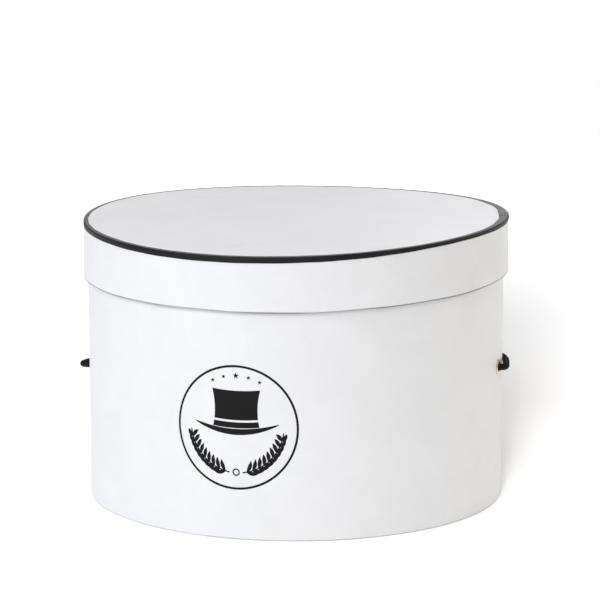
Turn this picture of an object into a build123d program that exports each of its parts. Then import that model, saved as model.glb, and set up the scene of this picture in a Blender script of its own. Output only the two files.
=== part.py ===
"""A round, paper-covered board hat box with a telescoping lid and a carrying cord.

Millimetres, +Z up. The origin is the centre of the underside, the front is -Y,
and the two cord eyelets are on the X axis.
"""

import os
from math import sqrt, tan, radians, pi

from build123d import *

# ---- body: a hoop of board on a round base ----
body_radius = 180.0          # outside of the covered wall
wall_board = 2.0             # greyboard of the hoop
cover_paper = 0.4            # glazed paper outside, with its paste
lining_paper = 0.3           # plain paper inside, with its paste
glue_line = 0.03             # paste between two glued layers
body_height = 233.0          # top edge of the covered wall
turn_in = 12.0               # how far the cover paper folds over an edge
base_board_thickness = 2.0
base_fit = 0.15              # the base board drops into the hoop

# ---- lid: a disc in a hoop, slid over the body ----
lid_slip = 0.9               # radial room between lid and body
lid_seat = 0.35              # the lid's inside rests this far above the wall
rim_board = 1.6
rim_depth = 47.0             # outside depth of the lid's rim
top_board_thickness = 2.0
binding_thickness = 0.4      # black cloth tape round the lid's top edge
binding_side = 4.0           # its width down the rim
binding_top = 5.0            # its width across the top

# ---- seams at the back, +Y ----
seam_gap = 0.4               # the ends of each hoop butt together
seam_tape_width = 30.0
seam_tape_thickness = 0.2
seam_recess = 0.25           # the board is skived for the tape

# ---- eyelets on the X axis ----
eyelet_height = 118.5
cord_diameter = 6.0
eyelet_bore_play = 0.3       # radial room for the cord
eyelet_wall = 0.5
eyelet_hole_play = 0.1       # the barrel in its punched hole
flange_reach = 2.8           # flange beyond the barrel
flange_edge = 0.25
flange_dome = 0.9
lip_reach = 1.4              # the barrel's rolled end beyond the barrel
lip_thickness = 0.7
washer_reach = 3.6
washer_thickness = 0.6
washer_play = 0.1

# ---- stopper knots inside ----
knot_radius = 7.5
knot_length = 13.0
knot_play = 0.3
cord_joint = 2.0             # the tube of the cord starts this far inside the wall's face

# ---- the cord outside, from the right eyelet round the back to the left one ----
cord_route = [
    (178, 0, 118.5),
    (182.6, 0, 118.5),
    (185.6, 3.3, 118.4),
    (185.2, 10.6, 117.9),
    (182.1, 25.6, 116.8),
    (176.8, 50.7, 115),
    (166.2, 79.4, 112.2),
    (146.5, 114, 106),
    (118.5, 145.7, 92),
    (84.5, 172, 68),
    (48, 191, 38),
    (11, 204.5, 14.5),
    (-33, 209.5, 3.2),
    (-79, 197.5, 3.2),
    (-117, 171, 3.3),
    (-143, 138.5, 10.5),
    (-160.5, 108, 28),
    (-173.5, 79, 51),
    (-182, 51, 74),
    (-188.5, 31, 88.5),
    (-195, 19, 95),
    (-200.2, 8.3, 97.6),
    (-197.8, -0.4, 100.2),
    (-185.5, 5.5, 103.5),
    (-185, 0, 118.5),
    (-178, 0, 118.5),
]
run_share = 0.45             # of the shorter run, taken by the arc at a corner

# ---- sizes that follow ----
paper_inner = body_radius - cover_paper
board_outer = paper_inner - glue_line
board_inner = board_outer - wall_board
lining_outer = board_inner - glue_line
lining_inner = lining_outer - lining_paper

base_paper_top = cover_paper
turn_under_top = base_paper_top + glue_line + cover_paper
board_bottom = turn_under_top + glue_line
board_top = body_height - cover_paper - glue_line
base_board_top = board_bottom + base_board_thickness
base_lining_bottom = base_board_top + glue_line
floor_height = base_lining_bottom + lining_paper

rim_lining_inner = body_radius + lid_slip
rim_lining_outer = rim_lining_inner + lining_paper
rim_board_inner = rim_lining_outer + glue_line
rim_board_outer = rim_board_inner + rim_board
rim_paper_inner = rim_board_outer + glue_line
lid_radius = rim_paper_inner + cover_paper
binding_radius = lid_radius + glue_line + binding_thickness

top_lining_bottom = body_height + lid_seat
top_board_bottom = top_lining_bottom + lining_paper + glue_line
top_board_top = top_board_bottom + top_board_thickness
top_paper_bottom = top_board_top + glue_line
lid_top = top_paper_bottom + cover_paper
overall_height = lid_top + glue_line + binding_thickness
rim_bottom = overall_height - rim_depth
rim_board_bottom = rim_bottom + cover_paper + glue_line

cord_radius = cord_diameter / 2
bore_radius = cord_radius + eyelet_bore_play
barrel_radius = bore_radius + eyelet_wall
hole_radius = barrel_radius + eyelet_hole_play
flange_radius = barrel_radius + flange_reach
washer_radius = barrel_radius + washer_reach
flange_back = body_radius + glue_line
washer_back = sqrt(lining_inner**2 - washer_radius**2) - glue_line
washer_face = washer_back - washer_thickness
lip_face = washer_face - glue_line - lip_thickness
knot_face = lip_face - knot_play


def ring(inner, outer, bottom, top):
    """A round band standing on its edge."""
    tall = (Align.CENTER, Align.CENTER, Align.MIN)
    band = Cylinder(outer, top - bottom, align=tall) - Cylinder(inner, top - bottom, align=tall)
    return Pos(0, 0, bottom) * band


def disc(radius, bottom, top):
    """A round sheet lying flat."""
    tall = (Align.CENTER, Align.CENTER, Align.MIN)
    return Pos(0, 0, bottom) * Cylinder(radius, top - bottom, align=tall)


def turned(outline):
    """A closed outline of (radius, height) points turned about Z."""
    points = [(radius, 0, height) for radius, height in outline]
    return revolve(make_face(Polyline(*points, close=True)), Axis.Z)


def cord_holes():
    """The two punched holes for the eyelets, as one long rod along X."""
    rod = Cylinder(hole_radius, 2 * body_radius + 10)
    return Pos(0, 0, eyelet_height) * Rot(0, 90, 0) * rod


def back_slot(width, inner, outer, bottom, top):
    """A slab at the back, +Y, through a band's thickness."""
    return Pos(0, (inner + outer) / 2, (bottom + top) / 2) * Box(width, outer - inner, top - bottom)


def seam_strip(width, inner, thickness, bottom, top):
    """A curved strip at the back, lying on the inside radius given."""
    reach = inner + thickness + 1
    slab = back_slot(width, 0, reach, bottom, top)
    return ring(inner, inner + thickness, bottom, top) & slab


def hoop(inner, outer, bottom, top):
    """A band of board, butted at the back and skived inside for its seam tape."""
    recess = seam_strip(seam_tape_width + 1, inner, seam_recess, bottom, top)
    butt = back_slot(seam_gap, inner - 5, outer + 5, bottom - 1, top + 1)
    return ring(inner, outer, bottom, top) - recess - butt


def seam_tape(inner, bottom, top):
    """The gummed tape that joins a hoop's ends, in its skived recess."""
    return seam_strip(seam_tape_width, inner, seam_tape_thickness, bottom, top)


def body_wall_paper():
    """Outside cover, folded over the wall's top and under its bottom."""
    under = body_radius - turn_in
    inner = lining_outer - cover_paper
    return turned([
        (under, base_paper_top + glue_line),
        (body_radius, base_paper_top + glue_line),
        (body_radius, body_height),
        (inner, body_height),
        (inner, body_height - turn_in),
        (lining_outer, body_height - turn_in),
        (lining_outer, body_height - cover_paper),
        (paper_inner, body_height - cover_paper),
        (paper_inner, turn_under_top),
        (under, turn_under_top),
    ])


def lid_rim_paper():
    """Cover of the lid's rim, folded up inside round its lower edge."""
    return turned([
        (rim_lining_inner, rim_bottom),
        (lid_radius, rim_bottom),
        (lid_radius, lid_top),
        (rim_paper_inner, lid_top),
        (rim_paper_inner, rim_bottom + cover_paper),
        (rim_lining_outer, rim_bottom + cover_paper),
        (rim_lining_outer, rim_bottom + turn_in),
        (rim_lining_inner, rim_bottom + turn_in),
    ])


def lid_edge_binding():
    """Black tape folded over the lid's top edge."""
    inner = lid_radius + glue_line
    return turned([
        (inner, overall_height - binding_side),
        (binding_radius, overall_height - binding_side),
        (binding_radius, overall_height),
        (binding_radius - binding_top, overall_height),
        (binding_radius - binding_top, lid_top + glue_line),
        (inner, lid_top + glue_line),
    ])


def right_eyelet():
    """Domed flange outside, barrel through the wall, end rolled over the washer."""
    with BuildPart() as eyelet:
        with BuildSketch(Plane.XZ):
            with BuildLine():
                Polyline(
                    (bore_radius, flange_back + flange_edge),
                    (bore_radius, lip_face),
                    (barrel_radius + lip_reach, lip_face),
                    (barrel_radius + lip_reach, lip_face + lip_thickness),
                    (barrel_radius, lip_face + lip_thickness),
                    (barrel_radius, flange_back),
                    (flange_radius, flange_back),
                    (flange_radius, flange_back + flange_edge),
                )
                crest = (bore_radius + flange_radius) / 2
                ThreePointArc(
                    (flange_radius, flange_back + flange_edge),
                    (crest, flange_back + flange_edge + flange_dome),
                    (bore_radius, flange_back + flange_edge),
                )
            make_face()
        revolve(axis=Axis.Z)
    return Pos(0, 0, eyelet_height) * Rot(0, 90, 0) * eyelet.part


def right_washer():
    """Flat brass washer between the lining and the eyelet's rolled end."""
    hole = barrel_radius + washer_play
    return Pos(0, 0, eyelet_height) * Rot(0, 90, 0) * ring(hole, washer_radius, washer_face, washer_back)


def right_knot():
    """Stopper knot inside the wall, with the cord's end through the eyelet."""
    knot = Pos(0, 0, knot_face - knot_length) * Cylinder(
        knot_radius, knot_length, align=(Align.CENTER, Align.CENTER, Align.MIN)
    )
    knot = fillet(knot.edges().filter_by(GeomType.CIRCLE), knot_length * 0.4)
    stub = disc(cord_radius, knot_face - 1, body_radius - cord_joint)
    return Pos(0, 0, eyelet_height) * Rot(0, 90, 0) * (knot + stub)


def left_of(part):
    """The same piece on the other end of the X axis."""
    return mirror(part, about=Plane.YZ)


def corner_radii(points):
    """The largest even arc that each corner of the route leaves room for."""
    radii = []
    for before, corner, after in zip(points, points[1:], points[2:]):
        coming = Vector(*corner) - Vector(*before)
        going = Vector(*after) - Vector(*corner)
        half_turn = radians(coming.get_angle(going)) / 2
        radii.append(run_share * min(coming.length, going.length) / tan(half_turn))
    return radii


def carry_cord():
    """The cord as a tube of straight runs and tangent arcs."""
    radii = corner_radii(cord_route)
    path = FilletPolyline(*cord_route, radius=radii)
    start = Plane(origin=path @ 0, z_dir=path % 0)
    tube = sweep(start * Circle(cord_radius), path=path)
    print("corner radii", [round(radius, 1) for radius in radii])
    print("cord length", round(path.length, 1))
    print("tube volume / (section x length)", round(tube.volume / (pi * cord_radius**2 * path.length), 4))
    return tube


def all_parts():
    """Every piece under its node's name."""
    holes = cord_holes()
    wall = hoop(board_inner, board_outer, board_bottom, board_top)
    rim_top = top_board_top
    lining_top = body_height - turn_in - glue_line
    parts = {
        "body_wall_board": wall - holes,
        "body_wall_paper": body_wall_paper() - holes,
        "body_wall_lining": ring(lining_inner, lining_outer, floor_height, lining_top) - holes,
        "body_seam_tape": seam_tape(board_inner, floor_height, board_top),
        "base_board": disc(board_inner - base_fit, board_bottom, base_board_top),
        "base_paper": disc(body_radius - 2, 0, base_paper_top),
        "base_lining": disc(lining_outer - base_fit, base_lining_bottom, floor_height - glue_line),
        "lid_top_board": disc(rim_board_inner - base_fit, top_board_bottom, top_board_top),
        "lid_rim_board": hoop(rim_board_inner, rim_board_outer, rim_board_bottom, rim_top),
        "lid_top_paper": disc(rim_paper_inner - glue_line, top_paper_bottom, lid_top),
        "lid_rim_paper": lid_rim_paper(),
        "lid_top_lining": disc(rim_lining_inner, top_lining_bottom, top_lining_bottom + lining_paper),
        "lid_rim_lining": ring(
            rim_lining_inner, rim_lining_outer, rim_bottom + turn_in + glue_line, top_lining_bottom - glue_line
        ),
        "lid_seam_tape": seam_tape(rim_board_inner, rim_board_bottom, top_board_bottom - glue_line),
        "lid_edge_binding": lid_edge_binding(),
        "carry_cord": carry_cord(),
    }
    for name, make in (("eyelet", right_eyelet), ("eyelet_washer", right_washer), ("cord_knot", right_knot)):
        piece = make()
        parts["right_" + name] = piece
        parts["left_" + name] = left_of(piece)
    return parts


os.makedirs("parts", exist_ok=True)
for node, shape in all_parts().items():
    export_step(shape, f"parts/{node}.step")
print("overall height", overall_height, "lid radius", binding_radius)
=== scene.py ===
"""A round white board hat box: papered wall and lid, black taped edge, brass eyelets and a braided cord.

Metres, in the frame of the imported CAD: the front is -Y and the eyelets are on the X axis.
"""
from math import atan2, cos, degrees, exp, hypot, pi, radians, sin

import bpy
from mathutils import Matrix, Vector


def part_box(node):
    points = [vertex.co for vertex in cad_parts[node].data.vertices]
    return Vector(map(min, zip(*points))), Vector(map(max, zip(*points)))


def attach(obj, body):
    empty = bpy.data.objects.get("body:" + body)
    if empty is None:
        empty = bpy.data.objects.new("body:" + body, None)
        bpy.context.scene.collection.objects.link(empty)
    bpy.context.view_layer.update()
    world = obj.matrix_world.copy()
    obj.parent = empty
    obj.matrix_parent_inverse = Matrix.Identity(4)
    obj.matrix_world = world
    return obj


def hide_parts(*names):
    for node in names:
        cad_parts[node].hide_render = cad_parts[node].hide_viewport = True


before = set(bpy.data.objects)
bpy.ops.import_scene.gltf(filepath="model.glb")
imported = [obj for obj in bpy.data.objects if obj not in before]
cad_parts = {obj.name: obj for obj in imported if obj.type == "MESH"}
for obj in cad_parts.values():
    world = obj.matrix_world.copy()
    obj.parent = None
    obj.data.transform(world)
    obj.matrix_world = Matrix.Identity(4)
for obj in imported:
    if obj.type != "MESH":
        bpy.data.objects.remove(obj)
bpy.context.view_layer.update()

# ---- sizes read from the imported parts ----
MM = 0.001
wall_low, wall_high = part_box("body_wall_paper")
lining_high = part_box("body_wall_lining")[1]
base_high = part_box("base_paper")[1]
floor_low, floor_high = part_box("base_lining")
rim_low, rim_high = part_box("lid_rim_paper")
top_low, top_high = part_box("lid_top_paper")
tape_low, tape_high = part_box("lid_edge_binding")
ceiling_low, ceiling_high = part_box("lid_top_lining")
sleeve_low, sleeve_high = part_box("lid_rim_lining")
eyelet_low, eyelet_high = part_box("right_eyelet")

wall_radius = wall_high.x
wall_top = wall_high.z
rim_radius = rim_high.x
rim_bottom = rim_low.z
lid_edge = tape_high.z
eyelet_height = (eyelet_low.z + eyelet_high.z) / 2

# ---- papers, as they are cut and pasted ----
cover_paper = 0.4 * MM
lining_paper = 0.3 * MM
paste = 0.03 * MM
turn_in = 12 * MM
tape_thickness = 0.4 * MM
wall_lap_at = radians(90)          # the wall paper's ends overlap at the back
lap_step = 0.14 * MM
lap_fade = 14 * MM                 # how far the step dies away over
smooth_under = radians(38)         # edges sharper than this stay crisp

# ---- how the lid has warped and sits ----
# heights in mm: at the middle, rise to one end of the warp's line, rise to the back, saddle, twisted saddle
warp_across = radians(15.8)        # from the X axis to the line that the lid has bowed along
edge_warp = (241.5, 2.2, 1.8, 2.0, -2.7)
mouth_warp = (193.2, 2.6, 0.0, 1.7, -0.2)
lid_flare = 1.05 * MM              # the rim is this much wider at its lower edge

# ---- the print on the front ----
ring_height = 94.5 * MM
ring_radius = 52.2 * MM
ring_line = 1.9 * MM
ink_lift = 0.05 * MM               # the print's height over the paper

# ---- the cord: its route from the right eyelet round the back to the left one ----
cord_diameter = 6 * MM
cord_route = [
    (178, 0, 118.5),
    (182.6, 0, 118.5),
    (185.6, 3.3, 118.4),
    (185.2, 10.6, 117.9),
    (182.1, 25.6, 116.8),
    (176.8, 50.7, 115),
    (166.2, 79.4, 112.2),
    (146.5, 114, 106),
    (118.5, 145.7, 92),
    (84.5, 172, 68),
    (48, 191, 38),
    (11, 204.5, 14.5),
    (-33, 209.5, 3.2),
    (-79, 197.5, 3.2),
    (-117, 171, 3.3),
    (-143, 138.5, 10.5),
    (-160.5, 108, 28),
    (-173.5, 79, 51),
    (-182, 51, 74),
    (-188.5, 31, 88.5),
    (-195, 19, 95),
    (-200.2, 8.3, 97.6),
    (-197.8, -0.4, 100.2),
    (-185.5, 5.5, 103.5),
    (-185, 0, 118.5),
    (-178, 0, 118.5),
]

# ---- the viewpoint ----
camera_place = Vector((0.6669, -2.3567, 0.6336))
camera_turn = radians(15.8)
camera_dip = radians(10.77)
camera_lens = 171.59
camera_shift = 0.0068

# ---- the studio ----
room_colour = (1.0, 0.91, 0.88, 1)
room_strength = 0.276
# each soft light: degrees round from the front, height, distance, width and height, power, colour
softboxes = {
    "key": (-30, 1.5, 2.4, (1.6, 1.2), 28, (0.89, 0.94, 1.0)),
    "front": (6, 1.6, 2.6, (1.2, 0.8), 11.2, (0.98, 1.0, 1.0)),
    "overhead": (0, 2.6, 0.3, (1.6, 1.6), 10.4, (0.96, 0.96, 1.0)),
    "behind": (186, 1.4, 2.6, (2.8, 1.2), 19.5, (0.91, 0.96, 1.0)),
    "sheen": (187, 0.75, 2.5, (0.5, 0.35), 0.95, (0.97, 0.98, 1.0)),
    "right": (105, 1.2, 2.2, (1.6, 1.4), 6.8, (1.0, 1.0, 0.82)),
}
light_aim = Vector((0, 0, 0.12))
floor_reach = 2.4
floor_gap = 0.1 * MM
floor_white = 0.85
floor_glow = 0.55                  # its edge's own light, so that the disc has no visible end

# the lamp on the floor: degrees round from the front, rise, apparent width and strength
floor_lamp_turn = 7.5
floor_lamp_rise = 14.3
floor_lamp_width = 12
floor_lamp_power = 5.3


# ======================= effects that several finishes share =======================


def effect(name, takes, gives):
    """A shader node group with its named sockets; returns it with its two ends."""
    tree = bpy.data.node_groups.new(name, "ShaderNodeTree")
    for label, kind, value in takes:
        made = tree.interface.new_socket(label, in_out="INPUT", socket_type=kind)
        if value is not None:
            made.default_value = value
    for label, kind in gives:
        tree.interface.new_socket(label, in_out="OUTPUT", socket_type=kind)
    return tree, tree.nodes.new("NodeGroupInput"), tree.nodes.new("NodeGroupOutput")


def node(tree, kind, **settings):
    """A node with its settings; a setting named after a socket sets that socket."""
    made = tree.nodes.new(kind)
    for key, value in settings.items():
        if hasattr(made, key):
            setattr(made, key, value)
        else:
            made.inputs[key.replace("_", " ")].default_value = value
    return made


def maths(tree, operation, a, b=None, c=None):
    """One Math node; each value is a number or another node's output."""
    made = tree.nodes.new("ShaderNodeMath")
    made.operation = operation
    for i, value in enumerate((a, b, c)):
        if value is None:
            continue
        if isinstance(value, (int, float)):
            made.inputs[i].default_value = value
        else:
            tree.links.new(value, made.inputs[i])
    return made.outputs[0]


def noise(tree, place, size, detail=3.0, rough=0.55, warp=0.0):
    """Noise whose blotches are about `size` metres across."""
    made = node(tree, "ShaderNodeTexNoise", Scale=1 / size, Detail=detail, Roughness=rough, Distortion=warp)
    tree.links.new(place, made.inputs["Vector"])
    return made.outputs["Fac"]


def spread(tree, value, low, high):
    """Stretches the values from low to high over 0 to 1."""
    made = node(tree, "ShaderNodeMapRange", interpolation_type="SMOOTHSTEP")
    made.inputs["From Min"].default_value = low
    made.inputs["From Max"].default_value = high
    tree.links.new(value, made.inputs["Value"])
    return made.outputs["Result"]


def make_paper_fibre():
    """Fine fibre and slight cloudiness of a sheet of paper."""
    tree, start, end = effect(
        "paper_fibre",
        [("Place", "NodeSocketVector", None), ("Fibre", "NodeSocketFloat", 1.0)],
        [("Height", "NodeSocketFloat"), ("Cloud", "NodeSocketFloat")],
    )
    place = start.outputs["Place"]
    fine = noise(tree, place, 0.35 * MM, detail=4, rough=0.7)
    felt = noise(tree, place, 2.6 * MM, detail=3)
    height = maths(tree, "ADD", maths(tree, "MULTIPLY", fine, 0.45), maths(tree, "MULTIPLY", felt, 0.55))
    height = maths(tree, "MULTIPLY", height, start.outputs["Fibre"])
    cloud = noise(tree, place, 38 * MM, detail=5, rough=0.6, warp=0.3)
    tree.links.new(height, end.inputs["Height"])
    tree.links.new(cloud, end.inputs["Cloud"])
    return tree


def make_handling():
    """Faint scuffs and rubbed patches from being carried and stood on shelves."""
    tree, start, end = effect(
        "handling_marks",
        [("Place", "NodeSocketVector", None), ("Amount", "NodeSocketFloat", 0.3)],
        [("Mask", "NodeSocketFloat")],
    )
    place = start.outputs["Place"]
    patch = spread(tree, noise(tree, place, 55 * MM, detail=6, rough=0.62, warp=0.8), 0.56, 0.78)
    fleck = spread(tree, noise(tree, place, 3.2 * MM, detail=4, rough=0.7), 0.62, 0.74)
    both = maths(tree, "ADD", maths(tree, "MULTIPLY", patch, 0.6), maths(tree, "MULTIPLY", fleck, 0.35))
    mask = maths(tree, "MULTIPLY", both, start.outputs["Amount"])
    tree.links.new(maths(tree, "MINIMUM", mask, 1.0), end.inputs["Mask"])
    return tree


def make_painted_edge_shade():
    """Painted shade: a dark line along a folded edge, from the strip's own height, made uneven with noise."""
    tree, start, end = effect(
        "painted_edge_shade",
        [
            ("Place", "NodeSocketVector", None),
            ("Strip", "NodeSocketVector", None),
            ("Edge", "NodeSocketFloat", 0.0),
            ("Reach", "NodeSocketFloat", 0.001),
        ],
        [("Mask", "NodeSocketFloat")],
    )
    apart = tree.nodes.new("ShaderNodeSeparateXYZ")
    tree.links.new(start.outputs["Strip"], apart.inputs[0])
    off = maths(tree, "ABSOLUTE", maths(tree, "SUBTRACT", apart.outputs["Y"], start.outputs["Edge"]))
    share = maths(tree, "DIVIDE", off, start.outputs["Reach"])
    near = spread(tree, maths(tree, "SUBTRACT", 1.0, share), 0.0, 0.6)
    uneven = spread(tree, noise(tree, start.outputs["Place"], 60 * MM, detail=3), 0.25, 0.65)
    mask = maths(tree, "MULTIPLY", near, maths(tree, "MULTIPLY_ADD", uneven, 0.5, 0.5))
    tree.links.new(mask, end.inputs["Mask"])
    return tree


def make_weave():
    """Plain weave, from a strip's own lengthwise and crosswise measure."""
    tree, start, end = effect(
        "plain_weave",
        [("Strip", "NodeSocketVector", None), ("Threads", "NodeSocketFloat", 2200.0)],
        [("Height", "NodeSocketFloat"), ("Shade", "NodeSocketFloat")],
    )
    apart = tree.nodes.new("ShaderNodeSeparateXYZ")
    tree.links.new(start.outputs["Strip"], apart.inputs[0])
    waves = []
    for axis in ("X", "Y"):
        turns = maths(tree, "MULTIPLY", apart.outputs[axis], start.outputs["Threads"])
        waves.append(maths(tree, "SINE", maths(tree, "MULTIPLY", turns, pi)))
    over = maths(tree, "MULTIPLY", waves[0], waves[1])
    height = maths(tree, "MULTIPLY_ADD", over, 0.5, 0.5)
    slub = noise(tree, start.outputs["Strip"], 4 * MM, detail=3)
    half_slub = maths(tree, "MULTIPLY", slub, 0.5)
    tree.links.new(maths(tree, "ADD", height, half_slub), end.inputs["Height"])
    tree.links.new(maths(tree, "MULTIPLY_ADD", height, 0.5, half_slub), end.inputs["Shade"])
    return tree


paper_fibre = make_paper_fibre()
handling_marks = make_handling()
painted_edge_shade = make_painted_edge_shade()
plain_weave = make_weave()


# ======================= finishes =======================


def new_finish(name):
    """A material with its shader and the place on the piece that its patterns follow."""
    material = bpy.data.materials.new(name)
    material.use_nodes = True
    tree = material.node_tree
    shader = tree.nodes["Principled BSDF"]
    place = tree.nodes.new("ShaderNodeTexCoord").outputs["Object"]
    return material, tree, shader, place


def use(tree, group, **values):
    """Places a shared effect; values are numbers or outputs to link."""
    made = tree.nodes.new("ShaderNodeGroup")
    made.node_tree = group
    for key, value in values.items():
        if isinstance(value, (int, float)):
            made.inputs[key].default_value = value
        else:
            tree.links.new(value, made.inputs[key])
    return made.outputs


def tint(tree, mask, plain, marked):
    """A colour that goes from plain to marked with a mask."""
    made = tree.nodes.new("ShaderNodeMix")
    made.data_type = "RGBA"
    tree.links.new(mask, made.inputs["Factor"])
    for socket, colour in (("A", plain), ("B", marked)):
        target = [s for s in made.inputs if s.name == socket and s.type == "RGBA"][0]
        if isinstance(colour, tuple):
            target.default_value = (*colour, 1)
        else:
            tree.links.new(colour, target)
    return [s for s in made.outputs if s.type == "RGBA"][0]


def relief(tree, shader, height, depth, strength=1.0):
    """Bump of a real depth in metres."""
    bump = node(tree, "ShaderNodeBump", Strength=strength, Distance=depth)
    tree.links.new(height, bump.inputs["Height"])
    tree.links.new(bump.outputs["Normal"], shader.inputs["Normal"])


def paper_finish(name, plain, cloudy, rough, coat, scuffs, grain_depth, edge=None):
    """A sheet of paper: cloudy tone, fibre, scuffs and, along one edge, a painted shade line."""
    material, tree, shader, place = new_finish(name)
    fibre = use(tree, paper_fibre, Place=place)
    marks = use(tree, handling_marks, Place=place, Amount=scuffs)["Mask"]
    colour = tint(tree, spread(tree, fibre["Cloud"], 0.3, 0.7), plain, cloudy)
    grubby = tuple(c * k for c, k in zip(plain, (0.80, 0.785, 0.76)))
    colour = tint(tree, marks, colour, grubby)
    # painted shade: a near-black line along the given edge stands in for the shade that falls there
    if edge is not None:
        strip = tree.nodes.new("ShaderNodeTexCoord").outputs["UV"]
        edge_shade = use(tree, painted_edge_shade, Place=place, Strip=strip, Edge=edge[0], Reach=edge[1])["Mask"]
        colour = tint(tree, maths(tree, "MULTIPLY", edge_shade, edge[2]), colour, (0.10, 0.095, 0.09))
    tree.links.new(colour, shader.inputs["Base Color"])
    uneven = maths(tree, "MULTIPLY_ADD", fibre["Cloud"], 0.12, rough - 0.06)
    tree.links.new(maths(tree, "MULTIPLY_ADD", marks, 0.25, uneven), shader.inputs["Roughness"])
    shader.inputs["Coat Weight"].default_value = coat
    shader.inputs["Coat Roughness"].default_value = 0.28
    relief(tree, shader, fibre["Height"], grain_depth)
    return material


def board_finish():
    """Grey-brown millboard with darker specks and pressed fibres."""
    material, tree, shader, place = new_finish("greyboard")
    fibre = use(tree, paper_fibre, Place=place, Fibre=1.4)
    speck = spread(tree, noise(tree, place, 0.9 * MM, detail=2), 0.62, 0.72)
    colour = tint(tree, fibre["Cloud"], (0.30, 0.275, 0.235), (0.40, 0.37, 0.32))
    colour = tint(tree, speck, colour, (0.17, 0.15, 0.125))
    tree.links.new(colour, shader.inputs["Base Color"])
    shader.inputs["Roughness"].default_value = 0.9
    relief(tree, shader, fibre["Height"], 0.12 * MM)
    return material


def gummed_tape_finish():
    """Brown gummed paper with ribs across it."""
    material, tree, shader, place = new_finish("gummed_tape")
    fibre = use(tree, paper_fibre, Place=place)
    colour = tint(tree, fibre["Cloud"], (0.42, 0.29, 0.16), (0.50, 0.36, 0.21))
    tree.links.new(colour, shader.inputs["Base Color"])
    tree.links.new(maths(tree, "MULTIPLY_ADD", fibre["Cloud"], 0.2, 0.5), shader.inputs["Roughness"])
    relief(tree, shader, fibre["Height"], 0.05 * MM)
    return material


def binding_finish():
    """Black bookbinder's cloth: coated threads, rubbed to grey where it was smoothed down."""
    material, tree, shader, place = new_finish("black_binding_cloth")
    strip = tree.nodes.new("ShaderNodeTexCoord").outputs["UV"]
    weave = use(tree, plain_weave, Strip=strip, Threads=1900.0)
    rubbed = use(tree, handling_marks, Place=place, Amount=0.8)["Mask"]
    colour = tint(tree, weave["Shade"], (0.0015, 0.0015, 0.0017), (0.006, 0.006, 0.0065))
    colour = tint(tree, rubbed, colour, (0.02, 0.02, 0.021))
    tree.links.new(colour, shader.inputs["Base Color"])
    smooth = maths(tree, "MULTIPLY_ADD", weave["Shade"], -0.12, 0.50)
    tree.links.new(maths(tree, "MULTIPLY_ADD", rubbed, 0.12, smooth), shader.inputs["Roughness"])
    shader.inputs["Specular IOR Level"].default_value = 0.28
    relief(tree, shader, weave["Height"], 0.06 * MM)
    return material


def brass_finish():
    """Pressed brass: bright, with fine turning marks and dull patches."""
    material, tree, shader, place = new_finish("pressed_brass")
    dull = spread(tree, noise(tree, place, 2.4 * MM, detail=5, rough=0.65), 0.45, 0.75)
    colour = tint(tree, dull, (0.80, 0.66, 0.40), (0.56, 0.44, 0.25))
    tree.links.new(colour, shader.inputs["Base Color"])
    shader.inputs["Metallic"].default_value = 1.0
    tree.links.new(maths(tree, "MULTIPLY_ADD", dull, 0.22, 0.2), shader.inputs["Roughness"])
    relief(tree, shader, noise(tree, place, 0.5 * MM, detail=3), 0.012 * MM)
    return material


def cord_finish():
    """Black cotton yarn: hairs along each yarn and paler tops where it has rubbed."""
    material, tree, shader, place = new_finish("black_cotton_braid")
    yarn = tree.nodes.new("ShaderNodeTexCoord").outputs["UV"]
    along = node(tree, "ShaderNodeMapping", vector_type="POINT")
    along.inputs["Scale"].default_value = (0.12, 1.0, 1.0)
    tree.links.new(yarn, along.inputs["Vector"])
    hairs = noise(tree, along.outputs["Vector"], 0.11 * MM, detail=4, rough=0.7)
    faded = spread(tree, noise(tree, place, 14 * MM, detail=4), 0.45, 0.75)
    colour = tint(tree, hairs, (0.003, 0.003, 0.0033), (0.011, 0.011, 0.0115))
    colour = tint(tree, maths(tree, "MULTIPLY", faded, 0.4), colour, (0.022, 0.0215, 0.0215))
    tree.links.new(colour, shader.inputs["Base Color"])
    shader.inputs["Roughness"].default_value = 0.78
    shader.inputs["Specular IOR Level"].default_value = 0.2
    relief(tree, shader, hairs, 0.05 * MM)
    return material


def ink_finish():
    """Black printing ink, thin and slightly uneven where the paper's fibre shows through."""
    material, tree, shader, place = new_finish("black_printing_ink")
    fibre = use(tree, paper_fibre, Place=place)
    thin = spread(tree, noise(tree, place, 0.7 * MM, detail=3, rough=0.7), 0.62, 0.8)
    colour = tint(tree, thin, (0.003, 0.003, 0.0035), (0.03, 0.03, 0.033))
    tree.links.new(colour, shader.inputs["Base Color"])
    shader.inputs["Specular IOR Level"].default_value = 0.2
    tree.links.new(maths(tree, "MULTIPLY_ADD", fibre["Cloud"], 0.15, 0.38), shader.inputs["Roughness"])
    relief(tree, shader, fibre["Height"], 0.02 * MM)
    return material


cover_white = (0.86, 0.865, 0.88)
cover_cloud = (0.835, 0.84, 0.855)
# the wall paper's dark edge line is painted shade at its foot, where it meets the floor
wall_paper = paper_finish("glazed_wall_paper", cover_white, cover_cloud, 0.42, 0.12, 0.30, 0.02 * MM,
                          edge=(0.0, 1.3 * MM, 0.75))
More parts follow.
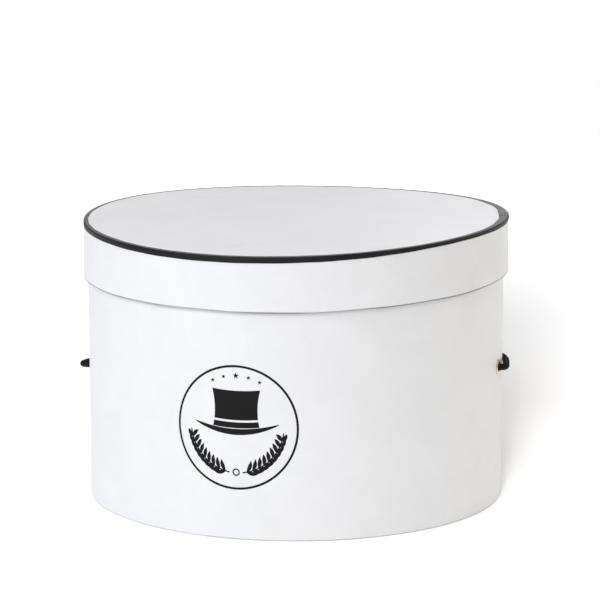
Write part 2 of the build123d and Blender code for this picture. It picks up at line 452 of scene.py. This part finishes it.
# the rim paper's dark edge line is painted shade along its lower edge, over the gap under the lid
rim_paper = paper_finish("glazed_rim_paper", cover_white, cover_cloud, 0.42, 0.12, 0.30, 0.02 * MM,
                         edge=(rim_bottom, 1.7 * MM, 0.92))
top_paper = paper_finish("glazed_top_paper", (0.83, 0.833, 0.845), (0.81, 0.813, 0.825), 0.45, 0.10, 0.35,
                         0.02 * MM)
under_paper = paper_finish("base_paper", (0.80, 0.79, 0.77), (0.74, 0.73, 0.70), 0.7, 0.0, 0.9, 0.03 * MM)
lining_white = paper_finish("plain_lining_paper", (0.82, 0.815, 0.79), (0.79, 0.782, 0.755), 0.8, 0.0, 0.35,
                            0.04 * MM)
greyboard = board_finish()
gummed = gummed_tape_finish()
binding_cloth = binding_finish()
brass = brass_finish()
cotton = cord_finish()
ink = ink_finish()


# ======================= building pieces =======================


def refined(outline, step, closed):
    """The outline's points with more between, no further apart than the step."""
    points = []
    ends = outline[1:] + outline[:1] if closed else outline[1:]
    for (r0, z0), (r1, z1) in zip(outline, ends):
        parts = max(1, round(hypot(r1 - r0, z1 - z0) / step))
        points += [(r0 + (r1 - r0) * k / parts, z0 + (z1 - z0) * k / parts) for k in range(parts)]
    return points if closed else points + [outline[-1]]


def rounded(outline, radius, corners=None):
    """The outline with its corners eased by small arcs of the radius, or less where a side is short."""
    points = []
    count = len(outline)
    for i, (r, z) in enumerate(outline):
        if corners is not None and i not in corners:
            points.append((r, z))
            continue
        before, after = outline[i - 1], outline[(i + 1) % count]
        for share in (0.0, 0.25, 0.5, 0.75, 1.0):
            sides = []
            for other in (before, after):
                away = hypot(other[0] - r, other[1] - z)
                take = min(radius, 0.45 * away) / away
                sides.append((r + (other[0] - r) * take, z + (other[1] - z) * take))
            a, b, c = (1 - share) ** 2, 2 * share * (1 - share), share ** 2
            (r0, z0), (r1, z1) = sides
            points.append((a * r0 + b * r + c * r1, a * z0 + b * z + c * z1))
    return points


def placed(name, data):
    """A new object in the scene with its mesh, lamp or camera."""
    thing = bpy.data.objects.new(name, data)
    bpy.context.scene.collection.objects.link(thing)
    return thing


def mesh_piece(name, points, faces, finish, strip=None):
    """A smooth-shaded mesh object with its finish; strip gives a UV in metres for each point."""
    mesh = bpy.data.meshes.new(name)
    mesh.from_pydata(points, [], faces)
    mesh.polygons.foreach_set("use_smooth", [True] * len(mesh.polygons))
    mesh.materials.append(finish)
    if strip:
        layer = mesh.uv_layers.new(name="strip")
        for loop in mesh.loops:
            layer.data[loop.index].uv = strip[loop.vertex_index]
    mesh.validate()
    mesh.set_sharp_from_angle(angle=smooth_under)
    return placed(name, mesh)


def turned(name, outline, finish, body, nodes, shape=None, step=6 * MM, around=360, closed=True):
    """Revolves an outline of (radius, height), shapes its points and puts it on its body.

    An outline that starts and ends on the axis is a disc, and isn't closed."""
    outline = refined(outline, step, closed)
    points, faces, rows, strip = [], [], [], []
    for r, z in outline:
        count = 1 if r < 1e-6 else around
        rows.append((len(points), count))
        for k in range(count):
            turn = 2 * pi * k / around
            place = (r * cos(turn), r * sin(turn), z)
            points.append(shape(*place) if shape else place)
            strip.append((r * turn, z))
    last = rows[1:] + rows[:1] if closed else rows[1:]
    for (a, many_a), (b, many_b) in zip(rows, last):
        for k in range(around):
            n = (k + 1) % around
            if many_a == 1:
                faces.append((a, b + n, b + k))
            elif many_b == 1:
                faces.append((a + k, a + n, b))
            else:
                faces.append((a + k, a + n, b + n, b + k))
    piece = mesh_piece(name, points, faces, finish, strip)
    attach(piece, body)
    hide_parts(*nodes)
    return piece


def disc(radius, low, high):
    """A sheet's outline from the axis out and back."""
    return [(0, high), (radius, high), (radius, low), (0, low)]


def band(inner, outer, low, high):
    """A hoop's closed outline."""
    return [(inner, low), (outer, low), (outer, high), (inner, high)]


def hump(x, width):
    """A soft bump: 1 at x = 0, dying away over the width."""
    return exp(-((x / width) ** 2))


def turn_off(angle, other):
    """The difference between two angles, from -pi to pi."""
    return (angle - other + pi) % (2 * pi) - pi


# ======================= the papered body =======================

# creases and dents in the wall: degrees round from the front, height, half width, half height, depth (mm)
wall_marks = [
    (3.8, 182, 1.1, 26, 0.22),
    (5.6, 172, 1.6, 34, -0.15),
    (3.7, 20, 1.0, 20, 0.20),
    (63.3, 112, 1.2, 4.5, 0.30),
    (69.5, 50.5, 1.0, 5.5, 0.32),
    (66.8, 44, 2.5, 7, 0.12),
    (-48, 66, 2.0, 15, 0.10),
    (-31, 150, 3.0, 22, 0.10),
    (141, 92, 1.6, 8, 0.25),
    (-152, 60, 2.2, 9, 0.22),
]


def slow_wave(angle, z):
    """The even wall's slight hollows and swells, from the board's grain and the paste drying."""
    return (0.10 * sin(5 * angle + 0.7 + 6 * z) + 0.07 * sin(11 * angle + 2.1 - 9 * z)
            + 0.04 * sin(23 * angle + 0.4 + 25 * z)) * MM


def marks_at(angle, z, marks):
    """How far the listed creases and dents push the paper in at a place."""
    depth = 0.0
    for turn, height, wide, tall, deep in marks:
        across = turn_off(angle, radians(turn - 90)) * wall_radius / (wide * MM)
        up = (z - height * MM) / (tall * MM)
        if abs(across) < 3 and abs(up) < 3:
            depth += deep * MM * exp(-across * across - up * up)
    return depth


def lapped(angle, lap_at, step):
    """The paper's top layer at its joint: a step on one side that dies away on the other."""
    off = turn_off(angle, lap_at) * wall_radius
    return step * exp(-off / lap_fade) if off > 0 else 0.0


def wall_shape(x, y, z):
    """The wall's paper as it lies: slow waves, a lap at the back, creases and a nearly level edge."""
    angle, r = atan2(y, x), hypot(x, y)
    if r < wall_radius - 0.2 * MM:
        return (x, y, z)
    free = min(1.0, max(0.0, (wall_top - 4 * MM - z) / (20 * MM)))
    free *= min(1.0, max(0.0, (z - 1 * MM) / (8 * MM)))
    at_eyelet = max(hump(turn_off(angle, 0), 0.07), hump(turn_off(angle, pi), 0.07))
    calm = 1 - at_eyelet * hump(z - eyelet_height, 25 * MM)
    out = (slow_wave(angle, z) * 0.7 - marks_at(angle, z, wall_marks)) * free * calm
    out += lapped(angle, wall_lap_at, lap_step) * free
    return (x * (r + out) / r, y * (r + out) / r, z)


def build_wall():
    """The cover paper, over the wall's top and under its base, and the lining inside."""
    inner = lining_high.x - cover_paper
    paper_in = wall_radius - cover_paper
    under = base_high.x - 10 * MM
    low = wall_low.z
    outline = [
        (under, low),
        (wall_radius, low),
        (wall_radius, wall_top),
        (inner, wall_top),
        (inner, wall_top - turn_in),
        (lining_high.x - 0.1 * MM, wall_top - turn_in),
        (lining_high.x - 0.1 * MM, wall_top - cover_paper),
        (paper_in, wall_top - cover_paper),
        (paper_in, low + cover_paper),
        (under, low + cover_paper),
    ]
    outline = rounded(outline, 0.9 * MM, corners=(1, 2, 3))
    turned("wall_cover_paper", outline, wall_paper, "body", ["body_wall_paper"],
           shape=wall_shape, step=4 * MM, around=720)
    outline = band(lining_high.x - lining_paper, lining_high.x, floor_high.z + paste, lining_high.z)
    turned("wall_lining_paper", outline, lining_white, "body", ["body_wall_lining"],
           shape=lining_shape, step=8 * MM, around=240)


def lining_shape(x, y, z):
    """The lining's slight swells between the places where the paste took."""
    angle, r = atan2(y, x), hypot(x, y)
    swell = 0.12 * MM * (1 + sin(9 * angle + 14 * z)) * sin(pi * min(1, max(0, z / lining_high.z)))
    return (x * (r - swell) / r, y * (r - swell) / r, z)


def sheet_shape(x, y, z):
    """A pasted disc's shallow waves, gone at its rim."""
    r = hypot(x, y)
    calm = max(0.0, 1 - (r / floor_high.x) ** 4)
    return (x, y, z + 0.35 * MM * calm * (1 + sin(31 * x + 12 * y) * sin(23 * y - 9 * x + 1)))


def build_base():
    """The papers on both faces of the base board."""
    outline = disc(base_high.x, 0, base_high.z)
    turned("base_cover_paper", outline, under_paper, "body", ["base_paper"],
           step=12 * MM, around=240, closed=False)
    outline = disc(floor_high.x, floor_low.z, floor_high.z)
    turned("base_lining_paper", outline, lining_white, "body", ["base_lining"],
           shape=sheet_shape, step=8 * MM, around=240, closed=False)


# ======================= the lid =======================


def warped(x, y, z):
    """The lid as it sits: bowed along one line, leaning, and a little wide at its mouth."""
    along = (x * cos(warp_across) + y * sin(warp_across)) / rim_radius
    aside = (-x * sin(warp_across) + y * cos(warp_across)) / rim_radius
    shape = (1, along, aside, along ** 2 - aside ** 2, along * aside)
    edge, mouth = (sum(size * share for size, share in zip(sizes, shape)) * MM
                   for sizes in (edge_warp, mouth_warp))
    down = (lid_edge - z) / (lid_edge - rim_bottom)
    wider = 1 + lid_flare * down / rim_radius * min(1.0, hypot(x, y) / (0.9 * rim_radius))
    return (x * wider, y * wider, edge + (mouth - edge) * down)


rim_marks = [
    (11.8, 211, 1.2, 7, 0.20),
    (-22, 203, 3.0, 12, 0.12),
    (58, 205, 2.2, 9, 0.15),
    (150, 201, 2.2, 9, 0.2),
]
rim_lap_at = radians(97)


def rim_shape(x, y, z):
    """The rim's paper: slow waves, its lap at the back and a few marks, on the warped lid."""
    angle, r = atan2(y, x), hypot(x, y)
    if r > rim_radius - 0.2 * MM:
        free = min(1.0, max(0.0, (z - rim_bottom - 1 * MM) / (8 * MM)))
        free *= min(1.0, max(0.0, (tape_low.z + 2 * MM - z) / (8 * MM)))
        out = (slow_wave(angle + 0.9, z) * 0.8 - marks_at(angle, z, rim_marks)) * free
        out += lapped(angle, rim_lap_at, lap_step) * free
        x, y = x * (r + out) / r, y * (r + out) / r
    x, y, z = warped(x, y, z)
    edge = hump(z - rim_bottom, 12 * MM) * 0.25 * MM
    return (x, y, z + edge * (sin(7 * angle + 1.3) + 0.6 * sin(17 * angle)))


def top_shape(x, y, z):
    """The top's paper: drawn tight at the edge, with faint waves between."""
    angle, r = atan2(y, x), hypot(x, y)
    share = r / top_high.x
    waves = 0.22 * MM * sin(19 * x + 7 * y + 0.6) * sin(17 * y - 5 * x) * (1 - share ** 3)
    ripple = 0.07 * MM * hump(share - 0.90, 0.05) * sin(26 * angle + 3 * sin(5 * angle))
    x, y, z = warped(x, y, z)
    return (x, y, z + waves + ripple)


def build_lid():
    """The lid's boards, papers and linings, all warped together."""
    thick = cover_paper
    inner = sleeve_high.x - lining_paper
    outline = [
        (inner, rim_bottom),
        (rim_radius, rim_bottom),
        (rim_radius, rim_high.z),
        (rim_radius - thick, rim_high.z),
        (rim_radius - thick, rim_bottom + thick),
        (sleeve_high.x, rim_bottom + thick),
        (sleeve_high.x, rim_bottom + turn_in),
        (inner, rim_bottom + turn_in),
    ]
    outline = rounded(outline, 0.8 * MM, corners=(0, 1))
    turned("lid_rim_cover_paper", outline, rim_paper, "lid", ["lid_rim_paper"],
           shape=rim_shape, step=3 * MM, around=720)
    outline = disc(top_high.x, top_low.z, top_high.z)
    turned("lid_top_cover_paper", outline, top_paper, "lid", ["lid_top_paper"],
           shape=top_shape, step=4 * MM, around=360, closed=False)
    outline = disc(ceiling_high.x, ceiling_low.z, ceiling_high.z)
    turned("lid_top_lining_paper", outline, lining_white, "lid", ["lid_top_lining"],
           shape=warped, step=8 * MM, around=240, closed=False)
    outline = band(inner, sleeve_high.x, sleeve_low.z, sleeve_high.z)
    turned("lid_rim_lining_paper", outline, lining_white, "lid", ["lid_rim_lining"],
           shape=warped, step=6 * MM, around=240)
    board_low, board_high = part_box("lid_rim_board")
    outline = band(sleeve_high.x + paste, board_high.x, board_low.z, board_high.z)
    turned("lid_rim_millboard", outline, greyboard, "lid", ["lid_rim_board", "lid_seam_tape"],
           shape=warped, step=8 * MM, around=240)
    board_low, board_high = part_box("lid_top_board")
    outline = disc(board_high.x, board_low.z, board_high.z)
    turned("lid_top_millboard", outline, greyboard, "lid", ["lid_top_board"],
           shape=warped, step=10 * MM, around=240, closed=False)


# the tape's width on top, as degrees round from the front and mm
tape_on_top = [
    (-180, 0.8), (-165, 0.6), (-120, 0.6), (-103, 1.5), (-88, 3.0), (-74, 3.8), (-40, 5.0), (16, 5.8),
    (50, 5.0), (76, 4.6), (92, 6.5), (105, 8.4), (120, 6.0), (140, 3.2), (163, 2.4), (180, 0.8),
]
tape_lap_at = radians(10)
tape_lap = 16 * MM


def eased(table, x):
    """A value between the table's, with no corner at them."""
    for (x0, v0), (x1, v1) in zip(table, table[1:]):
        if x0 <= x <= x1:
            t = (x - x0) / (x1 - x0)
            return v0 + (v1 - v0) * t * t * (3 - 2 * t)
    return table[-1][1]


def tape_section(angle, layer):
    """The tape's cross-section at one angle: down the rim, round the edge and in over the top."""
    on_top = eased(tape_on_top, degrees(turn_off(angle, radians(-90)))) * MM
    on_side = tape_high.z - tape_low.z - 1.1 * MM * hump(turn_off(angle, radians(-29)), 0.5)
    on_side += 0.9 * MM * hump(turn_off(angle, radians(-90)), 0.6)
    on_side += 0.12 * MM * sin(6 * angle + 1) + 0.08 * MM * sin(31 * angle)
    on_top *= 1 + 0.03 * sin(41 * angle + 2) + 0.03 * sin(13 * angle)
    pucker = 0.10 * MM * sin(67 * angle + 2 * sin(9 * angle))
    r, top = rim_radius + paste + layer, rim_high.z + paste + layer
    outer, over = r + tape_thickness, top + tape_thickness
    bend = min(1.1 * MM, 0.8 * on_top)
    face = [(r, top - on_side), (outer, top - on_side + 0.1 * MM)]
    for k in range(5):
        height = top - on_side + (on_side - bend) * (k + 0.5) / 5
        face.append((outer + pucker * 0.5 * sin(pi * k / 4), height))
    for k in range(6):
        turn = pi / 2 * k / 5
        face.append((outer - bend * (1 - cos(turn)), over - bend * (1 - sin(turn))))
    for k in range(1, 6):
        share = k / 5
        rise = pucker * sin(pi * share)
        face.append((outer - bend - (on_top - bend) * share, over + rise - 0.12 * MM * share))
    end = face[-1]
    return face + [(end[0] - 0.15 * MM, top)]


def build_tape():
    """The black cloth tape round the lid's edge, with its end lapped over its start."""
    around = 900
    points, faces, strip = [], [], []
    sweep = 2 * pi + tape_lap / rim_radius
    for k in range(around + 1):
        angle = tape_lap_at + sweep * k / around
        from_end = (around - k) / around * sweep * rim_radius
        layer = tape_thickness * (1 if from_end < tape_lap else exp(-((from_end - tape_lap) / (3 * MM)) ** 2))
        section = tape_section(angle, layer)
        slant = 5 * MM if k in (0, around) else 0.0
        measure = 0.0
        for i, (r, z) in enumerate(section):
            lean = slant * (i / (len(section) - 1) - 0.5) / rim_radius
            points.append(warped(r * cos(angle + lean), r * sin(angle + lean), z))
            if i:
                measure += hypot(r - section[i - 1][0], z - section[i - 1][1])
            strip.append((rim_radius * sweep * k / around, measure))
    row = len(section)
    for k in range(around):
        for i in range(row - 1):
            a = k * row + i
            faces.append((a, a + row, a + row + 1, a + 1))
    piece = mesh_piece("lid_black_tape", points, faces, binding_cloth, strip)
    thick = piece.modifiers.new("thickness", "SOLIDIFY")
    thick.thickness = tape_thickness
    thick.offset = -1.0
    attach(piece, "lid")
    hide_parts("lid_edge_binding")
    return piece


# ======================= the print =======================


class Print:
    """Ink on the wall's front: flat shapes in millimetres, wrapped round the wall."""

    def __init__(self):
        self.points = []
        self.faces = []

    def place(self, u, v):
        """A point of the print, u to the right and v up, as it lies on the wall."""
        turn = u * MM / wall_radius - pi / 2
        z = ring_height + v * MM
        x, y = wall_radius * cos(turn), wall_radius * sin(turn)
        x, y, z = wall_shape(x, y, z)
        r = hypot(x, y)
        out = (r + ink_lift) / r
        self.points.append((x * out, y * out, z))
        return len(self.points) - 1

    def ribbon(self, route, width):
        """A line along the route, its width given by a function of the share of the way, or a number."""
        rows = []
        for i, (u, v) in enumerate(route):
            a, b = route[max(0, i - 1)], route[min(len(route) - 1, i + 1)]
            du, dv = b[0] - a[0], b[1] - a[1]
            long = hypot(du, dv) or 1.0
            half = (width(i / (len(route) - 1)) if callable(width) else width) / 2
            rows.append((self.place(u - dv / long * half, v + du / long * half),
                         self.place(u + dv / long * half, v - du / long * half)))
        for (a, b), (c, d) in zip(rows, rows[1:]):
            self.faces.append((a, b, d, c))


def arc(u, v, radius, start, stop, steps):
    """Points round an arc, angles in degrees."""
    turns = [radians(start + (stop - start) * k / steps) for k in range(steps + 1)]
    return [(u + radius * cos(turn), v + radius * sin(turn)) for turn in turns]


def leaf(u, v, turn, size, side):
    """A pointed leaf's middle line, from its stalk, curling towards the side."""
    steps = [(size * k / 8, radians(turn + side * 2.5 * k)) for k in range(9)]
    return [(u + reach * cos(way), v + reach * sin(way)) for reach, way in steps]


def crown_half(v):
    """Half the hat's width at a height: narrowest a little above the band."""
    return 18.2 + 2.6 * ((v - 15) / 18) ** 2


def build_print():
    """A ring with a hat, stars over it and a leafy sprig on each side below it."""
    sheet = Print()
    ring = ring_radius / MM - ring_line / MM / 2
    sheet.ribbon(arc(0, 0, ring, 90, 450, 200), ring_line / MM)
    for low, high in ((7.4, 32.0), (0.8, 5.6)):
        rows = []
        for k in range(13):
            v = low + (high - low) * k / 12
            across = [crown_half(v) * (i / 5 - 1) for i in range(11)]
            rows.append([sheet.place(u, v + 1.2 * (u / 20) ** 2 - 1.2) for u in across])
        for one, two in zip(rows, rows[1:]):
            for i in range(10):
                sheet.faces.append((one[i], one[i + 1], two[i + 1], two[i]))
    brim = [(u, 0.0056 * u * u - 3.6) for u in range(-36, 37, 2)]
    sheet.ribbon(brim, lambda share: 0.5 + 4.6 * sin(pi * share) ** 0.8)
    for side in (-1, 1):
        stem = arc(0, 2, 40, -90 + side * 8, -90 + side * 82, 30)
        sheet.ribbon(stem, 1.1)
        for k in range(9):
            u, v = stem[2 + 3 * k]
            along = -90 + side * (8 + (2 + 3 * k) * 74 / 30) + side * 90
            for lean in (-36, 36):
                sheet.ribbon(leaf(u, v, along + lean, 10.4 - 0.35 * k, side),
                             lambda share: 0.3 + 3.1 * sin(pi * min(1, share * 1.02)) ** 0.9)
    sheet.ribbon(arc(0, -37.5, 2.6, 0, 360, 20), 1.2)
    for turn, size in ((-27, 2.0), (-14, 2.0), (0, 2.8), (14, 2.0), (27, 2.0)):
        u, v = 44.0 * sin(radians(turn)), 44.0 * cos(radians(turn)) - 0.6
        star = []
        for k in range(10):
            reach = size if k % 2 == 0 else 0.42 * size
            star.append(sheet.place(u + reach * sin(pi * k / 5), v + reach * cos(pi * k / 5)))
        middle = sheet.place(u, v)
        sheet.faces += [(middle, star[(k + 1) % 10], star[k]) for k in range(10)]
    piece = mesh_piece("front_print", sheet.points, sheet.faces, ink)
    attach(piece, "body")
    return piece


# ======================= the cord and its knots =======================


def route_line(name, route):
    """A smooth NURBS line through the air near the route's points, and the points that it passes."""
    curve = bpy.data.curves.new(name, "CURVE")
    curve.dimensions = "3D"
    curve.resolution_u = 12
    spline = curve.splines.new("NURBS")
    spline.points.add(len(route) - 1)
    for point, (x, y, z) in zip(spline.points, route):
        point.co = (x * MM, y * MM, z * MM, 1)
    spline.order_u = 3
    spline.use_endpoint_u = True
    bare = bpy.data.objects.new(name, curve)
    mesh = bpy.data.meshes.new_from_object(bare)
    line = [v.co.copy() for v in mesh.vertices]
    bpy.data.meshes.remove(mesh)
    bpy.data.objects.remove(bare)
    bpy.data.curves.remove(curve)
    return line


def even(line, step):
    """The line again, with points a step apart."""
    along = [0.0]
    for a, b in zip(line, line[1:]):
        along.append(along[-1] + (b - a).length)
    count = max(2, round(along[-1] / step))
    points, i = [], 0
    for k in range(count + 1):
        want = along[-1] * k / count
        while i < len(line) - 2 and along[i + 1] < want:
            i += 1
        share = (want - along[i]) / max(1e-12, along[i + 1] - along[i])
        points.append(line[i].lerp(line[i + 1], min(1.0, share)))
    return points


def carried(points):
    """Two directions square to the line at each point, turned as little as possible."""
    frames = []
    side = Vector((0, 0, 1))
    for i in range(len(points)):
        ahead = (points[min(i + 1, len(points) - 1)] - points[max(i - 1, 0)]).normalized()
        side = (side - ahead * side.dot(ahead)).normalized()
        frames.append((side, ahead.cross(side)))
    return frames


yarns_each_way = 6
braid_pitch = 17 * MM
yarn_ride = 0.22 * MM              # how far a yarn rises as it crosses over another
yarn_inset = 0.68 * MM             # from the cord's outside to the yarns' middle
core_inset = 0.75 * MM             # from the cord's outside to its filling
core_step = 2 * MM
fray_length = 5 * MM


def braid(line, diameter, fray=0.0):
    """Points, faces and strip measures of a round braid that follows the line."""
    step = braid_pitch / (2 * yarns_each_way) / 3
    points = even(line, step)
    frames = carried(points)
    length = sum((b - a).length for a, b in zip(points, points[1:]))
    step = length / (len(points) - 1)
    middle = diameter / 2 - yarn_inset
    mesh_points, faces, strip = [], [], []
    for way in (1, -1):
        for yarn in range(yarns_each_way):
            track = []
            for i, (point, (side, up)) in enumerate(zip(points, frames)):
                phase = 2 * pi * i * step / braid_pitch
                turn = way * phase + 2 * pi * (yarn + 0.25) / yarns_each_way
                ride = way * yarn_ride * cos(yarns_each_way * phase)
                out = side * cos(turn) + up * sin(turn)
                spread_out = fray * max(0.0, i * step - (length - fray_length)) / fray_length
                track.append((point + out * (middle + ride + spread_out), out))
            add_yarn(track, mesh_points, faces, strip, step)
    return mesh_points, faces, strip


def close_tube(first, rings, sides, faces):
    """The faces round a run of rings of points, and its two ends."""
    for i in range(rings - 1):
        for k in range(sides):
            a, b = first + i * sides + k, first + i * sides + (k + 1) % sides
            faces.append((a, b, b + sides, a + sides))
    faces.append(tuple(first + k for k in reversed(range(sides))))
    faces.append(tuple(first + (rings - 1) * sides + k for k in range(sides)))


def add_yarn(track, points, faces, strip, step, wide=0.86 * MM, thick=0.46 * MM, sides=6):
    """One flattened yarn along its track of places and outward directions."""
    first = len(points)
    for i, (place, out) in enumerate(track):
        ahead = (track[min(i + 1, len(track) - 1)][0] - track[max(i - 1, 0)][0]).normalized()
        across = ahead.cross(out).normalized()
        for k in range(sides):
            turn = 2 * pi * k / sides
            points.append(place + across * (wide * cos(turn)) + out * (thick * sin(turn)))
            strip.append((i * step, k * 0.6 * MM))
    close_tube(first, len(track), sides, faces)


def add_core(line, radius, points, faces, strip, sides=12):
    """The filling inside the braid, which closes the gaps between its yarns."""
    places = even(line, core_step)
    first = len(points)
    for i, (place, (side, up)) in enumerate(zip(places, carried(places))):
        for k in range(sides):
            turn = 2 * pi * k / sides
            points.append(place + (side * cos(turn) + up * sin(turn)) * radius)
            strip.append((i * core_step, k * MM))
    close_tube(first, len(places), sides, faces)


def braided_piece(name, route, diameter, fray=0.0):
    """A braided length of cord along a route, and the line that it follows."""
    line = route_line(name, route)
    points, faces, strip = braid(line, diameter, fray)
    add_core(line, diameter / 2 - core_inset, points, faces, strip)
    piece = mesh_piece(name, [tuple(p) for p in points], faces, cotton, strip)
    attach(piece, "body")
    return piece, line


# an overhand stopper knot, from the eyelet inwards: how far in from the wall's face, then aside and up, in mm
knot_route = [
    (1.5, 0, 0), (4.5, 0, 0), (7.5, 0.6, -0.6), (11, 2.2, -1.6), (15, 3.0, 0.2), (18.2, 1.2, 3.6),
    (18.4, -3.2, 4.8), (15.6, -5.9, 1.6), (12.2, -5.0, -3.2), (9.4, -1.2, -5.9), (8.2, 3.6, -4.2),
    (8.8, 5.8, 0.4), (11.4, 3.8, 4.6), (14.2, -0.6, 3.9), (16.2, -2.8, -0.8), (19.0, -3.0, -3.8),
    (23.0, -2.2, -7.5), (26.5, -1.0, -14), (28.0, 0.4, -21),
]


def build_cord():
    """The carrying cord outside and its two knots inside."""
    cord, line = braided_piece("carrying_cord", cord_route, cord_diameter)
    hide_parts("carry_cord")
    for name, side in (("right", 1), ("left", -1)):
        route = [(side * (wall_radius / MM - inward), side * aside, eyelet_height / MM + up)
                 for inward, aside, up in knot_route]
        knot, _ = braided_piece(name + "_stopper_knot", route, cord_diameter, fray=1.0 * MM)
        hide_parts(name + "_cord_knot")


# ======================= camera, light and floor =======================


def heading(turn, dip):
    """The direction that points away from the front by a turn, and down by a dip."""
    return Vector((-sin(turn) * cos(dip), cos(turn) * cos(dip), -sin(dip)))


def aim(thing, ahead):
    """Turns a camera or lamp to look along a direction."""
    thing.rotation_euler = ahead.to_track_quat("-Z", "Y").to_euler()


def build_camera():
    """The camera, aimed by its turn and dip."""
    data = bpy.data.cameras.new("camera")
    camera = placed("camera", data)
    data.lens = camera_lens
    data.sensor_width = 36
    data.shift_x = camera_shift
    data.clip_start, data.clip_end = 0.05, 100
    camera.location = camera_place
    aim(camera, heading(camera_turn, camera_dip))
    bpy.context.scene.camera = camera


def softbox(name, turn, height, away, size, power, colour):
    """A soft light round from the front by `turn` degrees, aimed at the box's middle."""
    data = bpy.data.lights.new(name, "AREA")
    data.shape = "RECTANGLE"
    data.size, data.size_y = size
    data.energy = power
    data.color = colour
    light = placed(name, data)
    light.location = Vector((sin(radians(turn)) * away, -cos(radians(turn)) * away, height))
    aim(light, light_aim - light.location)


def floor_light(floor):
    """A low soft lamp that lights the floor alone, and gives the box its short shadow there."""
    data = bpy.data.lights.new("floor_lamp", "SUN")
    data.angle = radians(floor_lamp_width)
    data.energy = floor_lamp_power
    lamp = placed("floor_lamp", data)
    aim(lamp, heading(radians(floor_lamp_turn), radians(floor_lamp_rise)))
    lit = bpy.data.collections.new("floor_only")
    lit.objects.link(floor)
    lamp.light_linking.receiver_collection = lit


def build_studio():
    """A white room: bright even surroundings, a large soft key from the left and a pale floor."""
    scene = bpy.context.scene
    scene.view_settings.view_transform = "Standard"
    world = bpy.data.worlds.new("white_room")
    scene.world = world
    world.use_nodes = True
    tree = world.node_tree
    around = tree.nodes["Background"]
    around.inputs["Color"].default_value = room_colour
    around.inputs["Strength"].default_value = room_strength
    seen = node(tree, "ShaderNodeBackground", Strength=1.0)
    seen.inputs["Color"].default_value = (1, 1, 1, 1)
    which = tree.nodes.new("ShaderNodeMixShader")
    tree.links.new(tree.nodes.new("ShaderNodeLightPath").outputs["Is Camera Ray"], which.inputs["Fac"])
    tree.links.new(around.outputs[0], which.inputs[1])
    tree.links.new(seen.outputs[0], which.inputs[2])
    tree.links.new(which.outputs[0], tree.nodes["World Output"].inputs["Surface"])
    for name, settings in softboxes.items():
        softbox(name, *settings)

    material, tree, shader, place = new_finish("pale_floor")
    shader.inputs["Base Color"].default_value = (floor_white, floor_white, floor_white, 1)
    shader.inputs["Roughness"].default_value = 1.0
    shader.inputs["Specular IOR Level"].default_value = 0.0
    away = node(tree, "ShaderNodeVectorMath", operation="LENGTH")
    tree.links.new(place, away.inputs[0])
    tree.links.new(spread(tree, away.outputs["Value"], 1.3, 2.35), shader.inputs["Emission Color"])
    shader.inputs["Emission Strength"].default_value = floor_glow
    turns = [2 * pi * k / 96 for k in range(96)]
    edge = [(floor_reach * cos(turn), floor_reach * sin(turn), 0) for turn in turns]
    mesh = bpy.data.meshes.new("floor")
    mesh.from_pydata(edge, [], [tuple(range(len(edge)))])
    mesh.materials.append(material)
    floor = placed("floor", mesh)
    floor.location.z = -floor_gap
    floor_light(floor)


def finish_kept_parts():
    """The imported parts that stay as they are, in their real finishes."""
    kept = {
        "body_wall_board": greyboard, "base_board": greyboard, "body_seam_tape": gummed,
        "left_eyelet": brass, "right_eyelet": brass,
        "left_eyelet_washer": brass, "right_eyelet_washer": brass,
    }
    for name, finish in kept.items():
        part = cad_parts[name]
        part.data.materials.clear()
        part.data.materials.append(finish)


build_camera()
build_cord()
build_studio()
build_wall()
build_base()
build_lid()
build_tape()
build_print()
finish_kept_parts()
